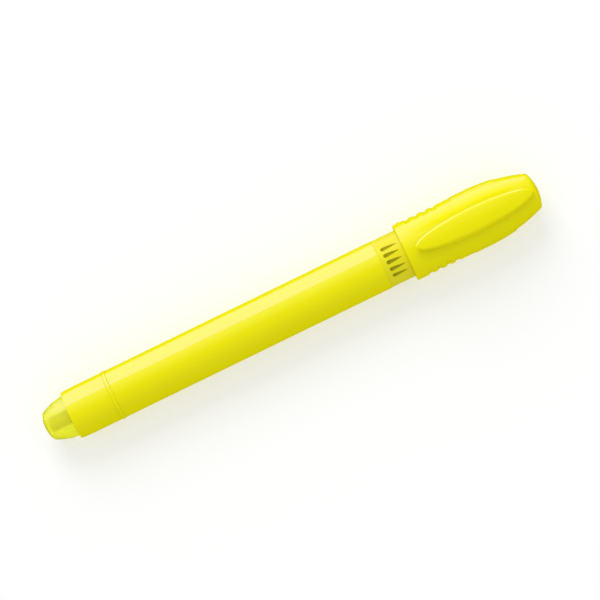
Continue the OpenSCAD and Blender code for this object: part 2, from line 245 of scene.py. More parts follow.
def revolve(name, section, segments, axis=None, relief=None, outside=()):
    """A closed surface of revolution about the pen's axis, or about another (y, z).

    The section runs so that its outside has rising stations. It ends on the
    axis at both ends, or else closes on itself. relief(station, radius, angle)
    gives how far the points in the range outside stand proud.
    """
    y0, z0 = axis or (0, AXIS_Z)
    section = np.array(section)
    angles = np.arange(segments) * TAU / segments
    x = np.repeat(section[:, :1], segments, axis=1)
    r = np.repeat(section[:, 1:2], segments, axis=1)
    if relief:
        low, high = outside
        r[low:high] += relief(x[low:high], r[low:high], angles[None, :])
    solid = section[0, 1] < 1e-9 and section[-1, 1] < 1e-9
    rows = slice(1, -1) if solid else slice(None)
    grid = np.stack([x, y0 + r * np.sin(angles), z0 + r * np.cos(angles)], -1)[rows]
    vertices = grid.reshape(-1, 3).tolist()
    count = len(grid)
    faces = strip_faces(count, segments, closed=not solid)
    if solid:
        first, last = len(vertices), len(vertices) + 1
        vertices += [(section[0, 0], y0, z0), (section[-1, 0], y0, z0)]
        end = (count - 1) * segments
        for j in range(segments):
            k = (j + 1) % segments
            faces += [(first, j, k), (last, end + k, end + j)]
    return as_object(name, vertices, faces)


def ring(name, centre, thickness, station):
    """A torus about the pen's axis."""
    tube_steps, segments = 24, 160
    section = [
        (station + thickness * math.cos(a), centre + thickness * math.sin(a))
        for a in -np.arange(tube_steps) * TAU / tube_steps
    ]
    return revolve(name, section, segments)


def combine(piece, operation, tools):
    """Applies a boolean with each tool to the piece, and deletes the tools."""
    for tool in tools:
        modifier = piece.modifiers.new("combine", "BOOLEAN")
        modifier.operation = operation
        modifier.solver = "EXACT"
        modifier.material_mode = "TRANSFER"
        modifier.object = tool
    bpy.context.view_layer.update()
    evaluated = piece.evaluated_get(bpy.context.evaluated_depsgraph_get())
    mesh = bpy.data.meshes.new_from_object(evaluated)
    piece.modifiers.clear()
    piece.data = mesh
    mesh.shade_smooth()
    mesh.set_sharp_from_angle(angle=SHARP_ANGLE)
    for tool in tools:
        bpy.data.objects.remove(tool)
    return piece


def smooth_step(low, high, value):
    """0 below low, 1 above high, and a smooth rise between them."""
    share = np.clip((value - low) / (high - low), 0, 1)
    return share * share * (3 - 2 * share)


def side_distance(angles):
    """Angle from the nearer side of the pen, +Y or -Y."""
    return np.abs(np.abs((angles + math.pi) % TAU - math.pi) - math.pi / 2)


# ---- Barrel, tail sleeve and trim ring ----


def barrel_tube():
    edge = 0.07 * MM
    corners = [
        (BARREL_START, SPIGOT_RADIUS, edge), (BARREL_START, BARREL_RADIUS, edge),
        (BARREL_END, BARREL_RADIUS, edge), (BARREL_END, SPIGOT_RADIUS, edge),
    ]
    return revolve("barrel_tube_detail", rounded(corners), 256)


def tail_sleeve():
    """The sleeve swells from its mouth to the barrel's radius."""
    mouth_drop, swell_length = 0.18 * MM, 3.95 * MM
    bore, journal, inner = KNOB_RADIUS + 0.08 * MM, 2.78 * MM, 4.7 * MM
    web_start, web_end = SLEEVE_START + 4.95 * MM, SLEEVE_START + 6.95 * MM
    edge = 0.07 * MM
    swell = [
        (SLEEVE_START + x, BARREL_RADIUS - mouth_drop * (1 - x / swell_length) ** 2)
        for x in stations(0.6 * MM, swell_length, 0.4 * MM)
    ]
    mouth = [
        (SLEEVE_START, bore, 0.1 * MM),
        (SLEEVE_START, BARREL_RADIUS - mouth_drop, 0.16 * MM),
    ]
    rest = [
        (TRIM_START, BARREL_RADIUS, edge), (TRIM_START, SPIGOT_RADIUS),
        (SLEEVE_END, SPIGOT_RADIUS), (SLEEVE_END, inner), (web_end, inner),
        (web_end, journal), (web_start, journal), (web_start, bore),
    ]
    return revolve("tail_sleeve_detail", rounded(mouth + swell + rest), 256)


def trim_ring():
    edge = 0.2 * MM
    corners = [
        (TRIM_START, SPIGOT_RADIUS), (TRIM_START, TRIM_RADIUS, edge),
        (TRIM_END, TRIM_RADIUS, edge), (TRIM_END, SPIGOT_RADIUS),
    ]
    return revolve("trim_ring_detail", rounded(corners, steps=6), 256)


# ---- Collar and nozzle ----

# With 256, a mesh line runs almost along the middle of some recesses, and the
# cut leaves edges there with four faces.
COLLAR_SEGMENTS = 264


def teardrop(angle):
    """Cutter for one recess: half a ball, drawn out to a point and deepened."""
    centre = RECESS_START + RECESS_RADIUS
    section = [(centre - RECESS_RADIUS, 0)]
    section += arc((centre, 0), RECESS_RADIUS, 168, 90, 7)
    section += [
        (centre + RECESS_LENGTH * share, RECESS_RADIUS * (1 - share ** 1.4))
        for share in np.linspace(0.08, 0.95, 12)
    ]
    section += [(centre + RECESS_LENGTH, 0)]
    outward = np.array([0, math.sin(angle), math.cos(angle)])
    middle = np.array([0, 0, AXIS_Z]) + COLLAR_RADIUS * outward
    cutter = revolve("recess_cutter", section, 32, axis=tuple(middle[1:]))
    # Painted shade: the cutter's darker material stays on the recess walls it cuts.
    finish_with(cutter, "recess")
    for vertex in cutter.data.vertices:
        height = (np.array(vertex.co) - middle) @ outward
        vertex.co += mathutils.Vector(outward * height * (RECESS_DEPTH / RECESS_RADIUS - 1))
    return cutter


def collar():
    """The slotted collar, its spigot in the barrel and the seat for the cap."""
    edge = 0.07 * MM
    bead = 0.35 * MM
    corners = [
        (COLLAR_START, COLLAR_BORE), (COLLAR_START, SPIGOT_RADIUS, 0.2 * MM),
        (BARREL_END, SPIGOT_RADIUS), (BARREL_END, COLLAR_RADIUS, edge),
        (SEAT_START, COLLAR_RADIUS, 0.1 * MM), (SEAT_START, SEAT_RADIUS),
    ]
    seat = arc((SEAT_BEAD, SEAT_RADIUS - 0.2 * MM), bead, 146, 34, 8)
    front = [(COLLAR_END, SEAT_RADIUS, 0.25 * MM), (COLLAR_END, COLLAR_BORE)]
    piece = revolve("collar_detail", rounded(corners + seat + front), COLLAR_SEGMENTS)
    finish_with(piece, "collar")
    cutters = [
        teardrop(RECESS_TILT + side + (i - (RECESSES - 1) / 2) * RECESS_PITCH)
        for side in (0, math.pi)
        for i in range(RECESSES)
    ]
    return combine(piece, "DIFFERENCE", cutters)


def nozzle():
    groove_half, edge = 0.45 * MM, 0.12 * MM
    groove_bottom = SEAL_CENTRE - SEAL_THICKNESS
    corners = [
        (NOZZLE_START, NOZZLE_BORE), (NOZZLE_START, COLLAR_BORE), (COLLAR_END, COLLAR_BORE, 0.15 * MM),
        (COLLAR_END, NOZZLE_RADIUS), (SEAL_STATION - groove_half, NOZZLE_RADIUS, edge),
        (SEAL_STATION - groove_half, groove_bottom), (SEAL_STATION + groove_half, groove_bottom),
        (SEAL_STATION + groove_half, NOZZLE_RADIUS, edge),
        (NOZZLE_END, NOZZLE_RADIUS, 0.38 * MM), (NOZZLE_END, NOZZLE_BORE, 0.15 * MM),
    ]
    return revolve("nozzle_detail", rounded(corners, steps=6), 192)


def nozzle_seal():
    return ring("nozzle_seal_detail", SEAL_CENTRE, SEAL_THICKNESS, SEAL_STATION)


# ---- Knob and its coupling ----

KNOB_SIDE_RADIUS = 15.5 * MM
KNOB_CROWN = SLEEVE_START + 1.25 * MM
STEM_START = KNOB_START + 2 * MM
STEM_RADIUS = 1.25 * MM
FLANGE_START = KNOB_END - 1.7 * MM
FLANGE_RADIUS = 4.3 * MM
JOURNAL_RADIUS = 2.7 * MM
PRESS = 0.02 * MM


def knob_side(station):
    """Radius of the knob's flare, which meets the sleeve's mouth."""
    rise = math.sqrt(KNOB_SIDE_RADIUS ** 2 - (KNOB_CROWN - station) ** 2)
    return KNOB_RADIUS + rise - math.sqrt(KNOB_SIDE_RADIUS ** 2 - (KNOB_CROWN - SLEEVE_START) ** 2)


def twist_knob():
    """Solid clear plastic, moulded tight round the coupling's stem and flange."""
    dome_radius, dome_edge, side_start = 8 * MM, 3.3 * MM, 1.05 * MM
    reach = math.degrees(math.asin(dome_edge / dome_radius))
    dome = arc((KNOB_START + dome_radius, 0), dome_radius, 180, 180 - reach, 8)
    flare = [(x, knob_side(x)) for x in stations(KNOB_START + side_start, SLEEVE_START, 0.5 * MM)]
    outline = softened(dome + flare)
    outline[0] = (KNOB_START, 0)
    inner = rounded([
        (KNOB_END, KNOB_RADIUS, 0.1 * MM), (KNOB_END, FLANGE_RADIUS - PRESS),
        (FLANGE_START + PRESS, FLANGE_RADIUS - PRESS), (FLANGE_START + PRESS, STEM_RADIUS - PRESS),
        (STEM_START + PRESS, STEM_RADIUS - PRESS, 0.3 * MM), (STEM_START + PRESS, 0),
    ], closed=False)
    inner[0] = (KNOB_END, KNOB_RADIUS)
    return revolve("twist_knob_detail", outline + inner, 256)


def knob_coupling():
    """The stem that shows through the knob, with its flange and journal."""
    groove_start, groove_end, groove_radius = 14.1 * MM, 14.9 * MM, 2.3 * MM
    journal_end = span("knob_coupling")[1]
    socket_start = KNOB_END + 0.5 * MM
    corners = [
        (STEM_START, 0), (STEM_START, STEM_RADIUS, 0.35 * MM), (FLANGE_START, STEM_RADIUS, 0.25 * MM),
        (FLANGE_START, FLANGE_RADIUS, 0.2 * MM), (KNOB_END, FLANGE_RADIUS), (KNOB_END, JOURNAL_RADIUS),
        (KNOB_START + groove_start, JOURNAL_RADIUS), (KNOB_START + groove_start, groove_radius),
        (KNOB_START + groove_end, groove_radius), (KNOB_START + groove_end, JOURNAL_RADIUS),
        (journal_end, JOURNAL_RADIUS, 0.15 * MM), (journal_end, STEM_RADIUS),
        (socket_start, STEM_RADIUS), (socket_start, 0),
    ]
    return revolve("knob_coupling_detail", rounded(corners, closed=False), 128)


def drag_ring():
    thickness = 0.31 * MM
    centre = KNOB_RADIUS + 0.06 * MM - thickness
    return ring("drag_ring_detail", centre, thickness, SLEEVE_START + 1.95 * MM)


# ---- Gel stick ----


def gel_stick():
    start, end = span("gel_stick")
    radius = top_radius("gel_stick")
    corners = [
        (start, 0), (start, radius, 0.2 * MM), (end - 1.8 * MM, radius, 0.6 * MM),
        (end - 0.2 * MM, 2.4 * MM, 0.5 * MM), (end, 1.4 * MM), (end, 0),
    ]
    return revolve("gel_stick_detail", rounded(corners, closed=False, steps=6), 160)


# ---- Cap ----


def cap_side(station):
    """Radius of the cap's outside: straight, then a long arc inwards."""
    past = max(0.0, station - CAP_TAPER_START)
    return CAP_RADIUS - CAP_TAPER_RADIUS + math.sqrt(CAP_TAPER_RADIUS ** 2 - past ** 2)


def cap_relief(x, r, angles):
    """Grip grooves, ribbed side pads, the pip and the flat along the underside."""
    side = side_distance(angles)
    fade_start, fade_end = 0.22 * GROOVE_WIDTH, 0.56 * GROOVE_WIDTH
    groove_window = 1 - smooth_step(GROOVE_ARC / 2 - 0.06, GROOVE_ARC / 2 + 0.02, side)
    grooves = 0
    for i in range(GROOVES):
        middle = GROOVE_START + GROOVE_WIDTH / 2 + i * GROOVE_PITCH
        past = np.abs(x - middle)
        grooves = grooves + 1 - smooth_step(fade_start, fade_end, past)
    pad_edge = 0.16 * MM
    pad_window = 1 - smooth_step(PAD_ARC / 2 - 0.03, PAD_ARC / 2 + 0.01, side)
    pad = smooth_step(PAD_START, PAD_START + pad_edge, x)
    pad = pad * (1 - smooth_step(PAD_END - pad_edge, PAD_END, x))
    ribs = 0.5 - 0.5 * np.cos(TAU * (x - PAD_START) / PAD_RIB_PITCH)
    pad = pad * pad_window * (PAD_RISE - PAD_RIB_DEPTH * ribs)
    across = CAP_RADIUS * ((angles - math.pi / 2 + math.pi) % TAU - math.pi)
    pip_reach = PIP_RADIUS ** 2 - (x - PIP_STATION) ** 2 - across ** 2
    pip = np.maximum(0, np.sqrt(np.maximum(0, pip_reach)) - (PIP_RADIUS - PAD_RISE))
    raised = pad + pip - GROOVE_DEPTH * grooves * groove_window
    downward = np.maximum(-np.cos(angles), 1e-6)
    flat = np.minimum(0, FLAT_HEIGHT / downward - r)
    return raised + flat


def cap_outline():
    """Outside of the cap from its lip to the tip, with more rings where it has relief."""
    lip = 0.3 * MM
    groove_zone = GROOVE_START + GROOVES * GROOVE_PITCH
    places = stations(CAP_START + lip, PIP_STATION + PIP_RADIUS, 0.1 * MM)
    places += stations(PIP_STATION + PIP_RADIUS, groove_zone, 0.1 * MM)[1:]
    places += stations(groove_zone, PAD_START - 0.1 * MM, 0.5 * MM)[1:]
    places += stations(PAD_START, PAD_END, PAD_RIB_PITCH / 6)
    places += stations(PAD_END + 0.1 * MM, CAP_TAPER_END, 0.3 * MM)
    lip_arc = arc((CAP_START + lip, CAP_RADIUS - lip), lip, 180, 90, 6)
    corner = arc((CAP_END - 1.65 * MM, CAP_RADIUS - 3.55 * MM), 0.85 * MM, 66, 22, 8)
    dome = arc((CAP_END - CAP_DOME_RADIUS, 0), CAP_DOME_RADIUS, 20, 0, 10)
    dome[-1] = (CAP_END, 0)
    return lip_arc[:-1] + [(x, cap_side(x)) for x in places] + corner + dome


def clip_pocket():
    """Cutter for the pocket in the cap that the clip's root stands in."""
    slack = 0.1 * MM
    return keyhole(
        "pocket_cutter", PIVOT_RADIUS + slack, ROOT_HALF + 6 * slack,
        PIVOT_HALF_WIDTH + 1.5 * slack, PIVOT_HEIGHT + 3 * MM,
    )


def cap_shell():
    """The liner's seat is drawn in by as much as the liner's flange falls short of the bore."""
    front = top_radius("cap_liner") - CAP_BORE + LINER_FRONT_BORE + LINER_WALL
    hollow_end, hollow_radius = CAP_END - 2.2 * MM, 3 * MM
    inner = rounded([
        (hollow_end, 0), (hollow_end, hollow_radius, 0.3 * MM), (LINER_END, hollow_radius),
        (LINER_END, front), (LINER_END - 0.9 * MM, front), (CAP_TAPER_START, CAP_BORE),
        (CAP_START, CAP_BORE, 0.25 * MM), (CAP_START, CAP_RADIUS - 0.3 * MM),
    ], closed=False)[:-1]
    outline = cap_outline()
    outside = (len(inner), len(inner) + len(outline))
    piece = revolve("cap_shell_detail", inner + outline, 288, relief=cap_relief, outside=outside)
    return combine(piece, "DIFFERENCE", [clip_pocket()])


def cap_liner():
    rear, front, wall, edge = 4.9 * MM, LINER_FRONT_BORE, LINER_WALL, 0.12 * MM
    step = LINER_START + 5.2 * MM
    flange, flange_width = LINER_START + 2.2 * MM, 1.2 * MM
    corners = [
        (LINER_START, rear, edge), (LINER_START, rear + wall, edge), (flange, rear + wall),
        (flange, CAP_BORE, edge), (flange + flange_width, CAP_BORE, edge),
        (flange + flange_width, rear + wall), (step, rear + wall), (step + wall, front + wall),
        (LINER_END, front + wall), (LINER_END, 0), (LINER_END - 0.8 * MM, 0),
        (LINER_END - 0.8 * MM, front), (step, front), (step - wall, rear),
    ]
    outer_first = corners[10:] + corners[:10]
    return revolve("cap_liner_detail", rounded(outer_first, closed=False), 160)


# ---- Clip ----

CLIP_STEPS = 256


def clip_face(station):
    """Height of the clip's top above the pen's axis, along its middle line."""
    past = np.maximum(0, station - CLIP_FLAT_END)
    return CLIP_TOP - past ** 2 / (2 * CLIP_SWEEP_RADIUS)


def clip_crown(across):
    """Drop of the clip's top towards its long edges."""
    return CLIP_TOP - np.sqrt(CLIP_TOP ** 2 - across ** 2)


def clip_rib(station):
    """Depth of the cross rib under the free end."""
    share = np.clip((station - RIB_STATION) / RIB_HALF, -1, 1)
    return RIB_RISE * np.cos(math.pi / 2 * share) ** 2


def clip_ring(inset, height):
    """One ring of the clip's ellipse, drawn in by inset, at height(x, y) above the axis."""
    angles = np.arange(CLIP_STEPS) * TAU / CLIP_STEPS
    x = CLIP_MIDDLE + (CLIP_HALF_LENGTH - inset) * np.cos(angles)
    y = (CLIP_HALF_WIDTH - inset) * np.sin(angles)
    return np.stack([x, y, AXIS_Z + height(x, y)], -1)


def clip_top_rings():
    """Rings from the middle of the crowned top over the bevel to the side."""
    def top(drop):
        return lambda x, y: clip_face(x) - clip_crown(y) - drop

    edge = 0.07 * MM
    slope = CLIP_BEVEL_RISE / CLIP_BEVEL
    rings = [clip_ring(inset * MM, top(0)) for inset in (2.95, 2.6, 2.2, 1.7, 1.2, 0.85)]
    rings.append(clip_ring(CLIP_BEVEL + edge, top(0)))
    rings.append(clip_ring(CLIP_BEVEL, top(0.25 * edge)))
    for inset in (CLIP_BEVEL - edge, CLIP_BEVEL / 2, edge):
        rings.append(clip_ring(inset, top((CLIP_BEVEL - inset) * slope)))
    rings.append(clip_ring(0.2 * edge, top(CLIP_BEVEL_RISE)))
    rings.append(clip_ring(0, top(CLIP_BEVEL_RISE + edge)))
    return rings


def clip_under_rings():
    """Rings from the foot of the side to the middle of the underside."""
    def under(lift):
        return lambda x, y: clip_face(x) - CLIP_THICKNESS - clip_rib(x) + lift

    edge = 0.12 * MM
    rings = [
        clip_ring(0, under(edge * 1.3)), clip_ring(0.15 * edge, under(edge * 0.5)),
        clip_ring(0.5 * edge, under(edge * 0.15)), clip_ring(edge, under(0)),
    ]
    return rings + [clip_ring(inset * MM, under(0)) for inset in (0.4, 0.9, 1.5, 2.2, 2.95)]


def clip_blade():
    """The clip's elliptical blade, closed by strips across its first and last ring."""
    rings = clip_top_rings() + clip_under_rings()
    grid = np.concatenate(rings)
    faces = strip_faces(len(rings), CLIP_STEPS, closed=False)
    last = len(grid) - CLIP_STEPS
    for j in range(CLIP_STEPS // 2):
        across, behind = (CLIP_STEPS - j - 1) % CLIP_STEPS, (CLIP_STEPS - j) % CLIP_STEPS
        strip = list(dict.fromkeys((j, j + 1, across, behind)))
        faces.append(tuple(strip))
        faces.append(tuple(last + k for k in reversed(strip)))
    return as_object("pocket_clip_detail", grid, faces)


def keyhole(name, radius, half_length, half_width, top_height):
    """A round pivot with a post on it, across the pen: the clip's root, or its pocket."""
    front, back = PIVOT_STATION + half_length, PIVOT_STATION - half_length
    wide = half_length > radius
    lean = math.pi / 2 if wide else math.asin(half_length / radius)
    outline = [
        (PIVOT_STATION + radius * math.sin(a), PIVOT_HEIGHT + radius * math.cos(a))
        for a in np.linspace(lean, TAU - lean, 25 if wide else 33)
    ]
    if wide:
        outline = [(front, PIVOT_HEIGHT), *outline, (back, PIVOT_HEIGHT)]
    outline = [(front, top_height), *outline, (back, top_height)]
    count = len(outline)
    vertices = [(x, y, AXIS_Z + h) for y in (-half_width, half_width) for x, h in outline]
    faces = [tuple(range(count)), tuple(range(2 * count - 1, count - 1, -1))]
    faces += [(j, j + count, (j + 1) % count + count, (j + 1) % count) for j in range(count)]
    return as_object(name, vertices, faces)


def pocket_clip():
    root_top = float(clip_face(PIVOT_STATION)) - CLIP_THICKNESS / 2
    root = keyhole("clip_root", PIVOT_RADIUS, ROOT_HALF, PIVOT_HALF_WIDTH, root_top)
    return combine(clip_blade(), "UNION", [root])


# ---- Materials ----

NOISE_RANGE = (0.3, 0.7)


def new_material(name):
    """A node material and its Principled shader."""
    material = bpy.data.materials.new(name)
    material.use_nodes = True
    return material, material.node_tree.nodes["Principled BSDF"]


def noise(material, scale, detail=4, stretch=None):
    """A noise texture in the piece's own coordinates, drawn out along an axis if asked."""
    nodes, links = material.node_tree.nodes, material.node_tree.links
    place = nodes.new("ShaderNodeTexCoord")
    texture = nodes.new("ShaderNodeTexNoise")
    texture.inputs["Scale"].default_value = scale
    texture.inputs["Detail"].default_value = detail
    source = place.outputs["Object"]
    if stretch:
        mapping = nodes.new("ShaderNodeMapping")
        mapping.inputs["Scale"].default_value = stretch
        links.new(source, mapping.inputs["Vector"])
        source = mapping.outputs["Vector"]
    links.new(source, texture.inputs["Vector"])
    return texture.outputs["Fac"]


def put(tree, socket, source):
    """Links a socket to another one, or sets it to a value."""
    if isinstance(source, bpy.types.NodeSocket):
        tree.links.new(source, socket)
    else:
        socket.default_value = source


def maths(tree, operation, first, second=0):
    """Result of a maths node on sockets or values."""
    node = tree.nodes.new("ShaderNodeMath")
    node.operation = operation
    put(tree, node.inputs[0], first)
    put(tree, node.inputs[1], second)
    return node.outputs[0]


def mapped(tree, value, before, after, smooth=False):
    """A value carried from one range to another and held at both ends."""
    node = tree.nodes.new("ShaderNodeMapRange")
    if smooth:
        node.interpolation_type = "SMOOTHSTEP"
    node.inputs["From Min"].default_value = before[0]
    node.inputs["From Max"].default_value = before[1]
    node.inputs["To Min"].default_value = after[0]
    node.inputs["To Max"].default_value = after[1]
    tree.links.new(value, node.inputs["Value"])
    return node.outputs["Result"]


def mixed(tree, factor, first, second):
    """Mix of two strengths."""
    node = tree.nodes.new("ShaderNodeMix")
    put(tree, node.inputs[0], factor)
    put(tree, node.inputs[2], first)
    put(tree, node.inputs[3], second)
    return node.outputs[0]


def mixed_colours(tree, factor, first, second):
    """Mix of two colours."""
    node = tree.nodes.new("ShaderNodeMix")
    node.data_type = "RGBA"
    put(tree, node.inputs["Factor"], factor)
    put(tree, node.inputs["A"], first)
    put(tree, node.inputs["B"], second)
    return node.outputs["Result"]


def ranged(material, source, low, high):
    """A noise value carried to a range."""
    return mapped(material.node_tree, source, NOISE_RANGE, (low, high))


def two_tones(material, source, first, second):
    """Colour that wanders between two tones with a noise value."""
    ramp = material.node_tree.nodes.new("ShaderNodeValToRGB")
    ramp.color_ramp.elements[0].position = 0.35
    ramp.color_ramp.elements[1].position = 0.65
    ramp.color_ramp.elements[0].color = (*first, 1)
    ramp.color_ramp.elements[1].color = (*second, 1)
    material.node_tree.links.new(source, ramp.inputs["Fac"])
    return ramp.outputs["Color"]


def bumps(material, shader, layers):
    """Chains bump nodes from (height, distance) layers into the shader's normal."""
    nodes, links = material.node_tree.nodes, material.node_tree.links
    normal = None
    for height, distance in layers:
        bump = nodes.new("ShaderNodeBump")
        bump.inputs["Distance"].default_value = distance
        links.new(height, bump.inputs["Height"])
        if normal:
            links.new(normal, bump.inputs["Normal"])
        normal = bump.outputs["Normal"]
    links.new(normal, shader.inputs["Normal"])


def moulded(name, tones, roughness, grain=0.0006, orange_peel=0.004, sheen=0.5):
    """Injection-moulded plastic: a cloudy tone, grain, faint sinks and handling marks along it."""
    material, shader = new_material(name)
    links = material.node_tree.links
    links.new(two_tones(material, noise(material, 90), *tones), shader.inputs["Base Color"])
    marks = noise(material, 900, stretch=(0.06, 1, 1))
    links.new(ranged(material, marks, *roughness), shader.inputs["Roughness"])
    bumps(material, shader, [
        (noise(material, 160, detail=2), orange_peel * MM),
        (noise(material, 4200, detail=3), grain * MM),
    ])
    shader.inputs["IOR"].default_value = 1.46
    shader.inputs["Specular IOR Level"].default_value = sheen
    return material


def cloudy_plastic(name, tint, roughness, clearness):
    """Tinted see-through plastic with a clouded inside, and a painted glow."""
    material, shader = new_material(name)
    links = material.node_tree.links
    paler = [c * 1.04 for c in tint]
    cloud = noise(material, 500)
    links.new(two_tones(material, cloud, tint, paler), shader.inputs["Base Color"])
    links.new(ranged(material, noise(material, 1200), *roughness), shader.inputs["Roughness"])
    bumps(material, shader, [(noise(material, 300, detail=2), 0.004 * MM)])
    shader.inputs["Transmission Weight"].default_value = clearness
    shader.inputs["Specular IOR Level"].default_value = 0.2
    # Painted glow: a faint yellow emission that lightens the whole knob, standing in for light.
    shader.inputs["Emission Color"].default_value = (0.92, 0.95, 0.04, 1)
    shader.inputs["Emission Strength"].default_value = 0.11
    shader.inputs["Subsurface Weight"].default_value = 0.6
    shader.inputs["Subsurface Radius"].default_value = (1.0, 1.0, 0.15)
    shader.inputs["Subsurface Scale"].default_value = 3 * MM
    shader.inputs["IOR"].default_value = 1.49
    return material


def steel(name):
    """Stamped steel with turning marks."""
    material, shader = new_material(name)
    links = material.node_tree.links
    marks = noise(material, 3000, stretch=(1, 0.1, 0.1))
    tones = two_tones(material, marks, (0.50, 0.51, 0.53), (0.66, 0.67, 0.69))
    links.new(tones, shader.inputs["Base Color"])
    links.new(ranged(material, marks, 0.24, 0.42), shader.inputs["Roughness"])
    bumps(material, shader, [(marks, 0.002 * MM)])
    shader.inputs["Metallic"].default_value = 1
    return material


BRIGHT = ((0.880, 0.822, 0.0030), (0.890, 0.832, 0.0036))
SATIN = ((0.825, 0.760, 0.0030), (0.835, 0.770, 0.0036))
# SHADED is painted shade: a darker yellow for the recess walls, where shade falls.
SHADED = ((0.58, 0.54, 0.010), (0.64, 0.59, 0.012))
DEEP = ((0.55, 0.52, 0.010), (0.60, 0.57, 0.012))
WHITE = ((0.80, 0.80, 0.76), (0.86, 0.86, 0.83))
GREY = ((0.28, 0.29, 0.30), (0.33, 0.34, 0.35))
BLACK = ((0.018, 0.018, 0.019), (0.03, 0.03, 0.032))
WAXY = ((0.82, 0.90, 0.02), (0.90, 0.95, 0.04))
MATERIALS = {
    "barrel": moulded("barrel_yellow", BRIGHT, (0.03, 0.045)),
    "cap": moulded("cap_yellow", BRIGHT, (0.045, 0.065), sheen=0.36),
    "collar": moulded("collar_yellow", SATIN, (0.28, 0.36), grain=0.002, sheen=0.32),
    "recess": moulded("recess_painted_shade_yellow", SHADED, (0.4, 0.5), grain=0.002, sheen=0.3),
    "core": moulded("core_yellow", DEEP, (0.25, 0.35)),
    "inside": moulded("inner_yellow", BRIGHT, (0.25, 0.35)),
    "clear": cloudy_plastic("knob_clear_yellow_painted_glow", (0.88, 0.90, 0.05), (0.12, 0.18), 0.6),
    "white": moulded("inner_white", WHITE, (0.35, 0.5)),
    "grey": moulded("acetal_grey", GREY, (0.35, 0.5)),
    "rubber": moulded("seal_black", BLACK, (0.45, 0.6), grain=0.004),
    "gel": moulded("gel_yellow", WAXY, (0.28, 0.42), orange_peel=0.03),
    "steel": steel("stamped_steel"),
}

# ---- Pieces on their bodies ----

PIECES = [
    (barrel_tube, "barrel", "barrel_tube", "barrel", "yellow_plastic"),
    (tail_sleeve, "barrel", "tail_sleeve", "barrel", "yellow_plastic"),
    (trim_ring, "barrel", "trim_ring", "barrel", "yellow_plastic"),
    (collar, "barrel", "collar", "collar", "yellow_plastic"),
    (nozzle, "barrel", "nozzle", "inside", "yellow_plastic"),
    (nozzle_seal, "barrel", "nozzle_seal", "rubber", "black_rubber"),
    (twist_knob, "knob", "twist_knob", "clear", "clear_yellow_plastic"),
    (knob_coupling, "knob", "knob_coupling", "core", "yellow_plastic"),
    (drag_ring, "knob", "drag_ring", "rubber", "black_rubber"),
    (gel_stick, "carriage", "gel_stick", "gel", "gel"),
    (cap_shell, "cap", "cap_shell", "cap", "yellow_plastic"),
    (cap_liner, "cap", "cap_liner", "white", "white_plastic"),
    (pocket_clip, "clip", "pocket_clip", "cap", "yellow_plastic"),
]
CAD_FINISHES = {
    "guide_sleeve": "white", "thrust_washer": "steel", "snap_ring": "steel",
    "lead_screw": "white", "carrier_nut": "grey", "gel_holder": "white",
}


for make, body, node, material, slot in PIECES:
    piece = make()
    finish_with(piece, material)
    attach(piece, body)
    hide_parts(node)
for node, material in CAD_FINISHES.items():
    finish_with(frame["nodes"][node], material)

# ---- Floor, lights and camera ----

FLOOR_HALF = 3.0
FLOOR_REACH, FLOOR_LIGHT = (0.15, 1.2), (0.42, 0.58)
FILL, SEEN_THROUGH = 0.74, 1.0
GLOSS_LOW, GLOSS_HIGH, GLOSS_FLOOR = 0.13, 1.4, 0.85
GLOSS_COLOUR, FLOOR_GLOW = (0.62, 0.56, 1.0), (0.90, 0.82, 0.10)
GLOSS_SIDEWAYS, GLOSS_DOWNWARD = (0.35, 0.8), (-0.8, -1)
KEY_TILT = math.radians(50)
KEY_DISTANCE, KEY_SIZE, KEY_POWER = 1.2, 0.7, 6.0
CARD_DISTANCE = 0.6
CARD_LOW, CARD_HIGH = math.radians(-31.4), math.radians(42)
CARD_START, CARD_END = -1.2, 0.43
CARD_COLOUR = (0.36, 0.18, 1.0)
CARD_STRENGTH = 5.9
CARD_FOOT_LEVEL = 0.38
CARD_LEVELS = ((0.22, 0.56), (0.46, 0.80), (0.70, 0.94))
CARD_DIM, CARD_DIM_STATIONS = 0.25, (-0.75, -0.2)
CAP_FADE_STATIONS, CAP_FADE_UP = (0.046, 0.072), (0.2, 0.75)


def plane(name, corners, material):
    """A four-cornered stage object."""
    mesh = bpy.data.meshes.new(name)
    mesh.from_pydata(corners, [], [(0, 1, 2, 3)])
    mesh.materials.append(material)
    made = bpy.data.objects.new(name, mesh)
    bpy.context.scene.collection.objects.link(made)
    return made


def floor_material():
    """Pale floor with a painted glow of its own that grows away from the pen, so painted shade lies
    round the pen; clear from below.
    """
    material, shader = new_material("floor_white")
    tree = material.node_tree
    nodes, links = tree.nodes, tree.links
    tones = two_tones(material, noise(material, 3, detail=1), (0.59, 0.59, 0.59), (0.61, 0.61, 0.61))
    links.new(tones, shader.inputs["Base Color"])
    shader.inputs["Roughness"].default_value = 1
    shader.inputs["Specular IOR Level"].default_value = 0
    shader.inputs["Emission Color"].default_value = (1, 1, 1, 1)
    place = nodes.new("ShaderNodeTexCoord")
    distance = nodes.new("ShaderNodeVectorMath")
    distance.operation = "LENGTH"
    links.new(place.outputs["Object"], distance.inputs[0])
    # Painted light: the glow is weaker near the pen, a painted shade round it.
    light = mapped(tree, distance.outputs["Value"], FLOOR_REACH, FLOOR_LIGHT)
    links.new(light, shader.inputs["Emission Strength"])
    side = nodes.new("ShaderNodeNewGeometry")
    clear = nodes.new("ShaderNodeBsdfTransparent")
    mix = nodes.new("ShaderNodeMixShader")
    links.new(side.outputs["Backfacing"], mix.inputs[0])
    links.new(shader.outputs[0], mix.inputs[1])
    links.new(clear.outputs[0], mix.inputs[2])
    links.new(mix.outputs[0], nodes["Material Output"].inputs["Surface"])
    return material


def floor():
    h = FLOOR_HALF
    made = plane("floor", [(-h, -h, 0), (h, -h, 0), (h, h, 0), (-h, h, 0)], floor_material())
    made.visible_glossy = False


def card_share(stations):
    """Shares of the card's length at stations along the pen."""
    return [(station - CARD_START) / (CARD_END - CARD_START) for station in stations]


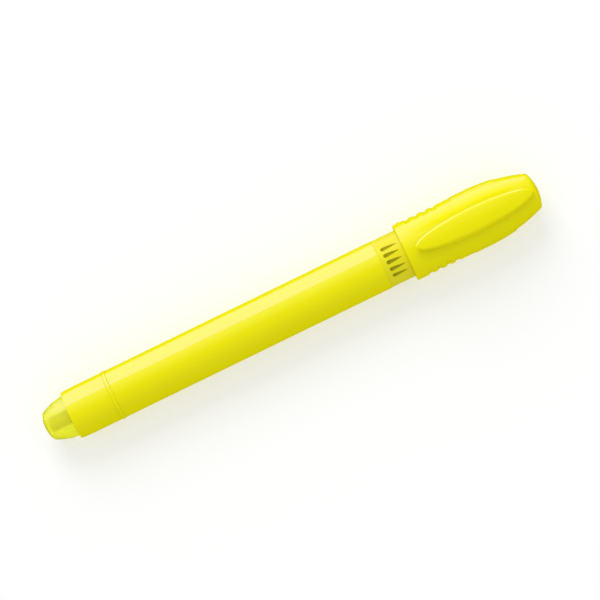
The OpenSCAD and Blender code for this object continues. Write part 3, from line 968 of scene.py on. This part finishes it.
def card_level(tree):
    """Share of the card's full light.

    It rises towards the card's top, which reads even in the gloss. It is dim far
    beyond the knob, and it fades upward past the middle of the cap.
    """
    place = tree.nodes.new("ShaderNodeTexCoord")
    split = tree.nodes.new("ShaderNodeSeparateXYZ")
    tree.links.new(place.outputs["Generated"], split.inputs[0])
    along, up = split.outputs["X"], split.outputs["Z"]
    even = tree.nodes.new("ShaderNodeValToRGB")
    even.color_ramp.elements[0].color = (CARD_FOOT_LEVEL, CARD_FOOT_LEVEL, CARD_FOOT_LEVEL, 1)
    for position, level in CARD_LEVELS:
        even.color_ramp.elements.new(position).color = (level, level, level, 1)
    tree.links.new(up, even.inputs["Fac"])
    past_middle = mapped(tree, along, card_share(CAP_FADE_STATIONS), (0, 1), smooth=True)
    fade = mixed(tree, past_middle, 1, mapped(tree, up, CAP_FADE_UP, (1, 0)))
    nearness = mapped(tree, along, card_share(CARD_DIM_STATIONS), (CARD_DIM, 1), smooth=True)
    level = maths(tree, "MULTIPLY", even.outputs["Color"], fade)
    return maths(tree, "MULTIPLY", level, nearness)


def card_material():
    material = bpy.data.materials.new("softbox_card")
    material.use_nodes = True
    tree = material.node_tree
    tree.nodes.clear()
    emission = tree.nodes.new("ShaderNodeEmission")
    emission.inputs["Color"].default_value = (*CARD_COLOUR, 1)
    strength = maths(tree, "MULTIPLY", card_level(tree), CARD_STRENGTH)
    tree.links.new(strength, emission.inputs["Strength"])
    output = tree.nodes.new("ShaderNodeOutputMaterial")
    tree.links.new(emission.outputs[0], output.inputs["Surface"])
    return material


def softbox_card():
    """A long card beside the pen that only its gloss sees."""
    y = CARD_DISTANCE
    low, high = AXIS_Z + y * math.tan(CARD_LOW), AXIS_Z + y * math.tan(CARD_HIGH)
    corners = [(CARD_START, y, low), (CARD_END, y, low), (CARD_END, y, high), (CARD_START, y, high)]
    made = plane("softbox_card", corners, card_material())
    made.visible_camera = made.visible_diffuse = made.visible_shadow = made.visible_transmission = False


def gloss_strength(tree, direction, above):
    """Brightness of the surroundings in the gloss.

    The sky brightens from straight up to the card's top edge, less so along the
    pen, and the floor is lit straight below.
    """
    tilt = maths(tree, "ARCTAN2", direction["Y"], direction["Z"])
    glow = mapped(tree, tilt, (0, TAU / 4 - CARD_HIGH), (0, GLOSS_HIGH - GLOSS_LOW))
    sideways = maths(tree, "ABSOLUTE", direction["X"])
    squarely = mapped(tree, sideways, GLOSS_SIDEWAYS, (1, 0))
    lit = maths(tree, "MULTIPLY", above, squarely)
    glow_above = maths(tree, "MULTIPLY", glow, lit)
    below = mapped(tree, direction["Z"], GLOSS_DOWNWARD, (GLOSS_LOW, GLOSS_FLOOR))
    return maths(tree, "ADD", glow_above, below)


def world():
    """Even white fill, white behind the floor's edge, dimmer and tinted in the gloss."""
    made = bpy.data.worlds.new("studio")
    bpy.context.scene.world = made
    made.use_nodes = True
    tree = made.node_tree
    place = tree.nodes.new("ShaderNodeTexCoord")
    split = tree.nodes.new("ShaderNodeSeparateXYZ")
    tree.links.new(place.outputs["Generated"], split.inputs[0])
    rays = tree.nodes.new("ShaderNodeLightPath").outputs
    glossy, through = rays["Is Glossy Ray"], rays["Is Transmission Ray"]
    above = maths(tree, "GREATER_THAN", split.outputs["Z"], 0)
    strength = mixed(tree, glossy, FILL, gloss_strength(tree, split.outputs, above))
    strength = mixed(tree, through, strength, SEEN_THROUGH)
    strength = mixed(tree, rays["Is Camera Ray"], strength, 1)
    tint = mixed_colours(tree, above, (*FLOOR_GLOW, 1), (*GLOSS_COLOUR, 1))
    mirrored = maths(tree, "SUBTRACT", glossy, through)
    colour = mixed_colours(tree, mirrored, (1, 1, 1, 1), tint)
    background = tree.nodes["Background"]
    tree.links.new(strength, background.inputs["Strength"])
    tree.links.new(colour, background.inputs["Color"])


def key_light():
    """A large soft lamp on the +Y side, left out of the gloss."""
    data = bpy.data.lights.new("key", "AREA")
    data.size = KEY_SIZE
    data.energy = KEY_POWER
    lamp = bpy.data.objects.new("key", data)
    bpy.context.scene.collection.objects.link(lamp)
    lamp.location = (0, KEY_DISTANCE * math.sin(KEY_TILT), AXIS_Z + KEY_DISTANCE * math.cos(KEY_TILT))
    lamp.rotation_euler = (-KEY_TILT, 0, 0)
    lamp.visible_glossy = False


def camera():
    """A long lens straight above the pen, rolled so that the pen climbs to the right."""
    roll = math.radians(25.95)
    frame_width, lens, sensor = 148.5 * MM, 200, 36
    right, up = -2.11 * MM, -2.06 * MM
    data = bpy.data.cameras.new("camera")
    data.lens, data.sensor_width = lens, sensor
    made = bpy.data.objects.new("camera", data)
    bpy.context.scene.collection.objects.link(made)
    distance = frame_width * lens / sensor
    x = -right * math.cos(roll) - up * math.sin(roll)
    y = right * math.sin(roll) - up * math.cos(roll)
    made.location = (x, y, AXIS_Z + distance)
    made.rotation_euler = (0, 0, -roll)
    bpy.context.scene.camera = made


floor()
softbox_card()
world()
key_light()
camera()
bpy.context.scene.view_settings.view_transform = "Standard"
